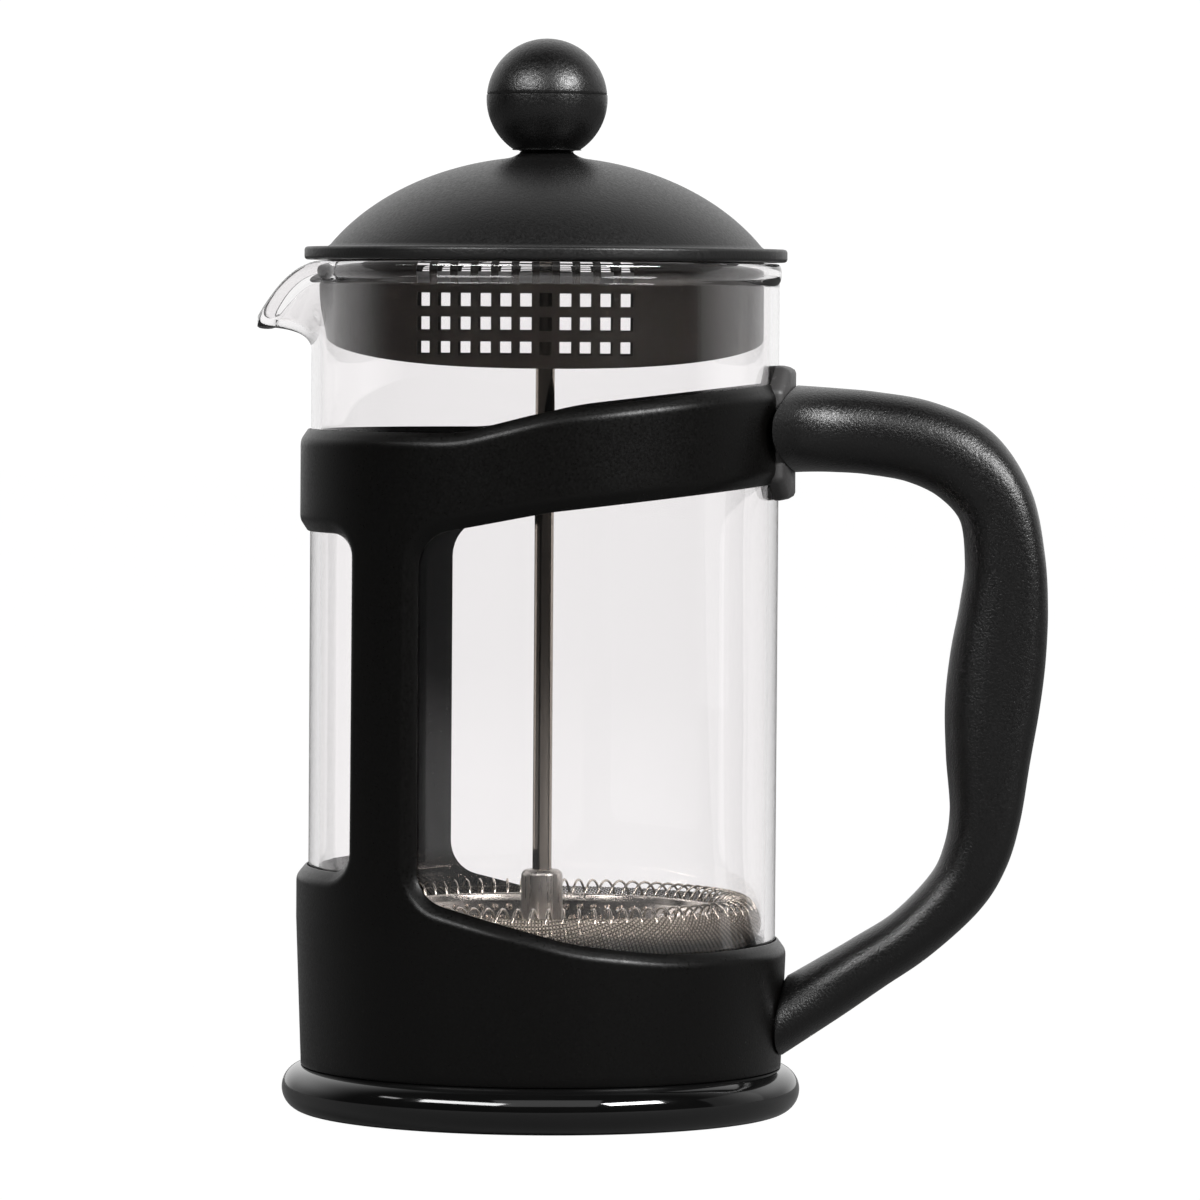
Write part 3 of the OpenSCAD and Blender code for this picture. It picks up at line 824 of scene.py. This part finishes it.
def make_hub():
    top_round = 1.4
    profile = [(ROD_R, HUB_LOW), (HUB_R - 0.3, HUB_LOW), (HUB_R, HUB_LOW + 0.3)]
    profile += arc((HUB_R - top_round, HUB_TOP - top_round), top_round, 0, 90, 12)
    profile += [(ROD_R + 0.35, HUB_TOP), (ROD_R + 0.2, HUB_TOP - 0.4), (ROD_R, HUB_TOP - 0.4)]
    piece = turned_piece("hub", profile, sharp=50, steps=96)
    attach(piece, "plunger")
    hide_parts("filter_hub")
    piece.data.materials.append(metal(
        "hub_steel", (0.5, 0.465, 0.435), 0.32, streak=(1, 1, 0.05), depth=0.12))


def plate_fold(s):
    """Where a distance from the middle of the flat plate goes when it is pressed to a dish."""
    floor, wall_low, wall_high = PLATE_LOW + 0.8, 31.5, 36.5
    rise = PLATE_RIM - 1.0 - floor
    wall = math.hypot(wall_high - wall_low, rise)
    if s <= wall_low:
        return s, floor
    share = min((s - wall_low) / wall, 1)
    return wall_low + (wall_high - wall_low) * share, floor + rise * share


WALL_HOLES = ((34.6, 70), (37.4, 72))      # distance from the middle of the flat plate, number


def make_plate(pitch=3.0, hole=0.9, sheet_r=39.2, thick=0.6):
    """The pierced plate: holes all over its floor and its sloping wall, and a rolled rim."""
    loops = [arc((0, 0), sheet_r, 0, 360, 180)[:-1], arc((0, 0), ROD_R + 0.05, 0, 360, 32)[:-1]]
    rows = int(sheet_r / (pitch * 0.866)) + 1
    for j in range(-rows, rows + 1):
        for i in range(-rows - 4, rows + 5):
            x, y = pitch * (i + 0.5 * (j % 2)), pitch * 0.866 * j
            if 6.5 < math.hypot(x, y) < 29.5:
                loops.append(arc((x, y), hole, 0, 360, 10)[:-1])
    for ring, count in WALL_HOLES:
        for a in np.linspace(0, 2 * math.pi, count, endpoint=False):
            middle = (ring * math.cos(a), ring * math.sin(a))
            loops.append(arc(middle, hole, 0, 360, 12)[:-1])
    flat, faces = filled(loops, 3.0)
    points = []
    for drop in (0, thick):
        for x, y in flat:
            s = max(math.hypot(x, y), 1e-6)
            r, z = plate_fold(s)
            points.append((x / s * r, y / s * r, z - drop))
    n, walls, base = len(flat), [], 0
    for loop in loops:
        m = len(loop)
        walls += [(base + i, base + (i + 1) % m, n + base + (i + 1) % m, n + base + i) for i in range(m)]
        base += m
    sheet = (points, faces + [tuple(n + i for i in f) for f in faces] + walls)
    edge_r, edge_z = plate_fold(sheet_r)
    rim = [(edge_r - 0.1, edge_z - thick - 0.2), (PLATE_R - 0.5, edge_z - 0.4)]
    rim += arc((PLATE_R - 0.6, PLATE_RIM - 0.6), 0.6, -20, 180, 14) + [(edge_r - 0.1, edge_z)]
    piece = mesh_object("pierced_plate", *joined(sheet, revolved(rim)), sharp=35)
    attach(piece, "plunger")
    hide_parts("filter_plate")
    piece.data.materials.append(metal("plate_steel", (0.62, 0.57, 0.52), 0.2, depth=0.15))


def make_edge_spring(turns=84, wire=0.275, steps=20):
    """One long coil of wire bent into a ring round the plate."""
    centre = (COIL_HIGH.z + COIL_LOW.z) / 2 + 0.25
    coil = (COIL_HIGH.z - COIL_LOW.z) / 2 - wire
    ring = COIL_HIGH.x - coil - wire - 0.8
    path = []
    for i in range(turns * steps):
        a, c = 2 * math.pi * i / (turns * steps), 2 * math.pi * i / steps
        r = ring + coil * math.cos(c)
        path.append((r * math.cos(a), r * math.sin(a), centre + coil * math.sin(c)))
    piece = mesh_object("coil_of_wire", *tube(path, wire, closed=True), sharp=80)
    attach(piece, "plunger")
    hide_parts("edge_spring")
    piece.data.materials.append(metal("spring_steel", (0.56, 0.51, 0.45), 0.16, depth=0.03))


def make_mesh_dish():
    """The steel cloth, with a map of the flat sheet on it for the weave."""
    thick, bend = 0.2, 4.9
    centre = (40.5, MESH_LOW + 6.0)
    top = math.degrees(math.asin((MESH_TOP - 0.2 - centre[1]) / bend))
    low = centre[1] - bend - thick
    foot = [(ROD_R + 0.05, MESH_LOW)] + [(r, MESH_LOW) for r in np.linspace(6, 32, 6)]
    outer = foot + [(36.5, (MESH_LOW + low) / 2)] + arc(centre, bend + thick, -90, top, 20)
    floor = [(r, z + thick) for r, z in foot[::-1]]
    inner = arc(centre, bend, top, -90, 20) + [(36.5, (MESH_LOW + low) / 2 + thick)] + floor
    piece = turned_piece("steel_cloth", outer + inner, sharp=60)
    uv = piece.data.uv_layers.new(name="cloth")
    for loop in piece.data.loops:
        p = piece.data.vertices[loop.vertex_index].co / MM
        r = math.hypot(p.x, p.y)
        flat = r
        if r > centre[0] - 1 or p.z > centre[1]:
            flat = centre[0] + bend * math.atan2(r - centre[0], centre[1] - p.z)
        spread = flat / max(r, 0.01) * MM
        uv.data[loop.index].uv = ((p.x - p.y) * 0.7071 * spread, (p.x + p.y) * 0.7071 * spread)
    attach(piece, "plunger")
    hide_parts("mesh_filter")
    piece.data.materials.append(woven_steel("mesh_steel", (0.37, 0.32, 0.265)))


def dress_small_parts():
    """Materials for the CAD parts whose own shape is shown."""
    looks = {
        "upper_handle_screw": metal("screw_steel", (0.6, 0.6, 0.59), 0.25),
        "rod_guide": metal("guide_steel", (0.6, 0.58, 0.55), 0.3, streak=(1, 1, 6)),
        "knob_insert": metal("insert_brass", (0.72, 0.5, 0.24), 0.3),
        "cross_plate": metal("cross_steel", (0.58, 0.55, 0.51), 0.3, depth=0.15),
        "bottom_nut": metal("nut_steel", (0.5, 0.48, 0.45), 0.33),
    }
    looks["lower_handle_screw"] = looks["upper_handle_screw"]
    for node, look in looks.items():
        dress(node, look)


# --- studio -------------------------------------------------------------------------------

# Name, azimuth, elevation, distance, width and height, power
SOFTBOXES = (
    ("left_box", -36, 34, 1.5, (0.95, 0.32), 21),
    ("right_box", 50, 33, 1.5, (0.65, 0.32), 36),
    ("front_box", 8, 42, 1.5, (1.1, 0.9), 3.4),
    ("left_kicker", -75, 31, 1.5, (0.25, 0.12), 0.6),
    ("side_fill", 102, 8, 1.6, (1.0, 1.2), 1.0),
)
# Strengths of the world: as reflected, then as seen through the glass, then as seen directly
WORLD_FRONT, WORLD_BACK, WORLD_LOW_SHARE = 0.015, 1.2, 0.35
THROUGH_FRONT, THROUGH_BACK = 0.06, 1.0
BACKDROP = 1.05
FLOOR_GLOW, GLOW_STRENGTH = 0.93, 1.07


def make_floor():
    """Pale paper that glows to the eye and through the glass, but not in reflections."""
    mesh = bpy.data.meshes.new("floor")
    size = 6.0
    corners = [(-size, -size, 0), (size, -size, 0), (size, size, 0), (-size, size, 0)]
    mesh.from_pydata(corners, [], [(0, 1, 2, 3)])
    floor = bpy.data.objects.new("floor", mesh)
    bpy.context.scene.collection.objects.link(floor)
    n = Nodes("floor_paper")
    mesh.materials.append(n.set(
        Base_Color=n.mix(n.noise(3), (0.12, 0.12, 0.12, 1), (0.15, 0.15, 0.15, 1)), Roughness=0.9))
    path = n.add("ShaderNodeLightPath").outputs
    bounces = n.math("ADD", path["Glossy Depth"], path["Diffuse Depth"])
    straight = n.math("LESS_THAN", bounces, 0.5)
    depth = n.add("ShaderNodeSeparateXYZ", {"Vector": n.place}).outputs[1]
    behind = n.math("MULTIPLY", path["Is Transmission Ray"], n.math("GREATER_THAN", depth, 0.1))
    seen = n.math("MAXIMUM", straight, behind)
    glow = n.add("ShaderNodeEmission", {"Color": (1, 1, 1, 1), "Strength": GLOW_STRENGTH}).outputs[0]
    paper = n.surface.outputs[0]
    lit = n.add("ShaderNodeMixShader", {0: n.math("MULTIPLY", seen, FLOOR_GLOW), 1: paper, 2: glow})
    n.tree.links.new(lit.outputs[0], n.tree.nodes["Material Output"].inputs[0])


def softbox(name, azimuth, elevation, distance, size, power, aim=(0, 0, 0.11)):
    """A soft area light; azimuth 0 is the camera's side and 90 the handle's."""
    a, e = math.radians(azimuth), math.radians(elevation)
    light = bpy.data.lights.new(name, "AREA")
    light.shape = "RECTANGLE"
    light.size, light.size_y = size
    light.energy = power
    obj = bpy.data.objects.new(name, light)
    place = Vector((math.sin(a) * math.cos(e), -math.cos(a) * math.cos(e), math.sin(e))) * distance
    obj.location = Vector(aim) + place
    obj.rotation_euler = (-place).to_track_quat("-Z", "Y").to_euler()
    bpy.context.scene.collection.objects.link(obj)


def make_world():
    """White to the eye; round the object it is bright behind and dim in front."""
    world = bpy.data.worlds.new("studio")
    world.use_nodes = True
    tree = world.node_tree
    tree.nodes.clear()
    link = tree.links.new

    def mixed(factor, a, b):
        node = tree.nodes.new("ShaderNodeMix")
        node.data_type = "FLOAT"
        for socket, value in zip((node.inputs[0], node.inputs[2], node.inputs[3]), (factor, a, b)):
            if isinstance(value, bpy.types.NodeSocket):
                link(value, socket)
            else:
                socket.default_value = value
        return node.outputs[0]

    def smooth_step(value, start, end):
        node = tree.nodes.new("ShaderNodeMapRange")
        node.interpolation_type = "SMOOTHSTEP"
        node.inputs["From Min"].default_value, node.inputs["From Max"].default_value = start, end
        link(value, node.inputs["Value"])
        return node.outputs[0]

    where = tree.nodes.new("ShaderNodeTexCoord")
    split = tree.nodes.new("ShaderNodeSeparateXYZ")
    link(where.outputs["Generated"], split.inputs[0])
    behind = smooth_step(split.outputs[1], 0.0, 0.75)
    above = smooth_step(split.outputs[2], 0.0, 0.42)
    path = tree.nodes.new("ShaderNodeLightPath")
    straight_back = smooth_step(split.outputs[1], 0.75, 0.95)
    low_wall = mixed(straight_back, WORLD_BACK * WORLD_LOW_SHARE, 1.0)
    back_wall = mixed(above, low_wall, WORLD_BACK)
    around = mixed(behind, WORLD_FRONT, back_wall)
    through = mixed(smooth_step(split.outputs[1], -0.2, 0.3), THROUGH_FRONT, THROUGH_BACK)
    light = mixed(path.outputs["Is Transmission Ray"], around, through)
    light = mixed(path.outputs["Is Camera Ray"], light, BACKDROP)
    back = tree.nodes.new("ShaderNodeBackground")
    back.inputs["Color"].default_value = (1, 1, 1, 1)
    out = tree.nodes.new("ShaderNodeOutputWorld")
    link(light, back.inputs["Strength"])
    link(back.outputs[0], out.inputs[0])
    bpy.context.scene.world = world


def make_camera():
    """Long lens, level with the spout, turned a little towards the handle."""
    data = bpy.data.cameras.new("camera")
    data.lens, data.sensor_width = 225, 36
    camera = bpy.data.objects.new("camera", data)
    distance, height = 1.555, 0.1667
    round_to_handle, pan, tilt, roll = (math.radians(d) for d in (3.5, 0.43, 2.23, 0.4))
    camera.location = (distance * math.sin(round_to_handle), -distance * math.cos(round_to_handle), height)
    camera.rotation_euler = (
        Matrix.Rotation(round_to_handle - pan, 3, "Z")
        @ Matrix.Rotation(math.pi / 2 - tilt, 3, "X")
        @ Matrix.Rotation(roll, 3, "Z")
    ).to_euler()
    bpy.context.scene.collection.objects.link(camera)
    bpy.context.scene.camera = camera


make_camera()
make_world()
make_floor()
for box in SOFTBOXES:
    softbox(*box)
bpy.context.scene.view_settings.view_transform = "Standard"

make_frame()
make_foot()
make_saddle()
make_handle()
make_glass()
make_dome()
dress_strainer()
make_knob()
make_rod()
make_hub()
make_plate()
make_edge_spring()
make_mesh_dish()
dress_small_parts()
